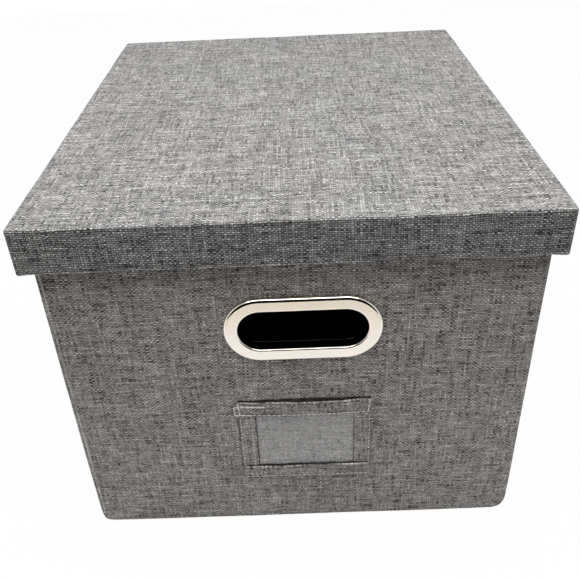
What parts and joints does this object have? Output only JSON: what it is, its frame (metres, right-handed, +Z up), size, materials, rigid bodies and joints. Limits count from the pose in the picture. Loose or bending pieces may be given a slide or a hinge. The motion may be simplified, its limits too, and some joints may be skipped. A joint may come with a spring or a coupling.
{
  "type": "storage file box",
  "caption": "Linen-covered file box with a lift-off lid, oval metal hand holes, folder rails and a clear label pocket on the front.",
  "frame": {"origin": "middle of the underside, on the surface that the box stands on", "axes": "+Z up, front wall with the label pocket towards -Y, +X to the right seen from the front"},
  "size_m": [0.33, 0.398, 0.267],
  "materials": {
    "linen": "grey melange linen weave",
    "lid_linen": "the same grey melange linen weave, over the lid",
    "thread": "pale sewing thread",
    "window": "clear flexible film",
    "lining": "dark non-woven lining",
    "ribbon": "woven ribbon",
    "greyboard": "grey bookbinding board",
    "rail": "bright zinc-plated steel",
    "nickel": "pale nickel plate, polished"
  },
  "bodies": {
    "box": {"outer_cover": "linen", "cover_base": "linen", "label_strip_left": "linen", "label_strip_right": "linen", "label_strip_bottom": "linen", "label_strip_top": "linen", "label_stitching": "thread", "label_window": "window", "lining_bag": "lining", "front_board": "greyboard", "back_board": "greyboard", "left_board": "greyboard", "right_board": "greyboard", "left_folder_rail": "rail", "right_folder_rail": "rail", "front_handle_grommet": "nickel", "front_handle_washer": "nickel", "back_handle_grommet": "nickel", "back_handle_washer": "nickel"},
    "lid": {"lid_cover": "lid_linen", "lid_lining": "lining", "lid_top_board": "greyboard", "lid_front_board": "greyboard", "lid_back_board": "greyboard", "lid_left_board": "greyboard", "lid_right_board": "greyboard"},
    "base_insert": {"insert_cover": "lining", "insert_pull_tab": "ribbon", "insert_board": "greyboard"}
  },
  "joints": [
    {"name": "lid_lift", "type": "slide", "parent": "box", "child": "lid", "axis": [0, 0, 1], "range_m": [0, 0.2]},
    {"name": "insert_lift", "type": "slide", "parent": "box", "child": "base_insert", "axis": [0, 0, 1], "range_m": [0, 0.25]}
  ]
}
